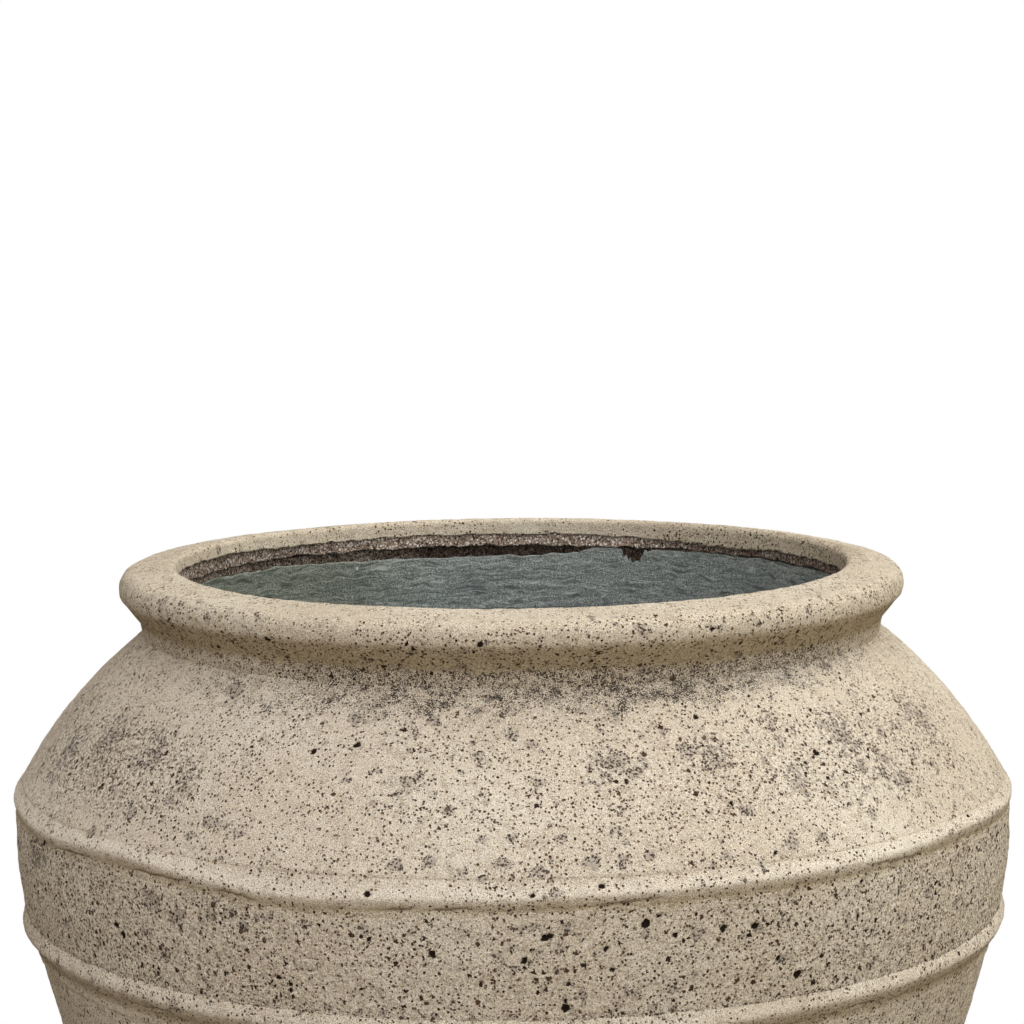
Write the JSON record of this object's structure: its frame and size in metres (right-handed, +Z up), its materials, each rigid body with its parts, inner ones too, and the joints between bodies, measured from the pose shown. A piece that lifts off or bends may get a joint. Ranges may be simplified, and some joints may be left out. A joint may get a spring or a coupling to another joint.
{
  "type": "planter",
  "caption": "Wide-shouldered clay jar planter with a rolled lip, hollow neck and raised bands, sand-coated outside, sealed inside, with a drain hole in its flat base.",
  "frame": {"origin": "centre of the flat underside that the jar stands on", "axes": "+Z up along the jar's axis; the jar is round, so +X and +Y are any two square directions, with the picture taken from -Y"},
  "size_m": [0.6005, 0.6006, 0.52],
  "materials": {
    "clay": "rough bare fired clay with white grit",
    "stone_coat": "matt sand coat, pitted and speckled",
    "sealant": "brushed satin waterproof paint"
  },
  "bodies": {
    "root": {"base_slab": "clay", "lower_ring": "clay", "belly_ring": "clay", "shoulder_ring": "clay", "neck_ring": "clay", "rim_roll": "clay", "upper_band": "clay", "lower_band": "clay", "sealant_coat": "sealant", "stone_coat": "stone_coat"}
  },
  "joints": []
}
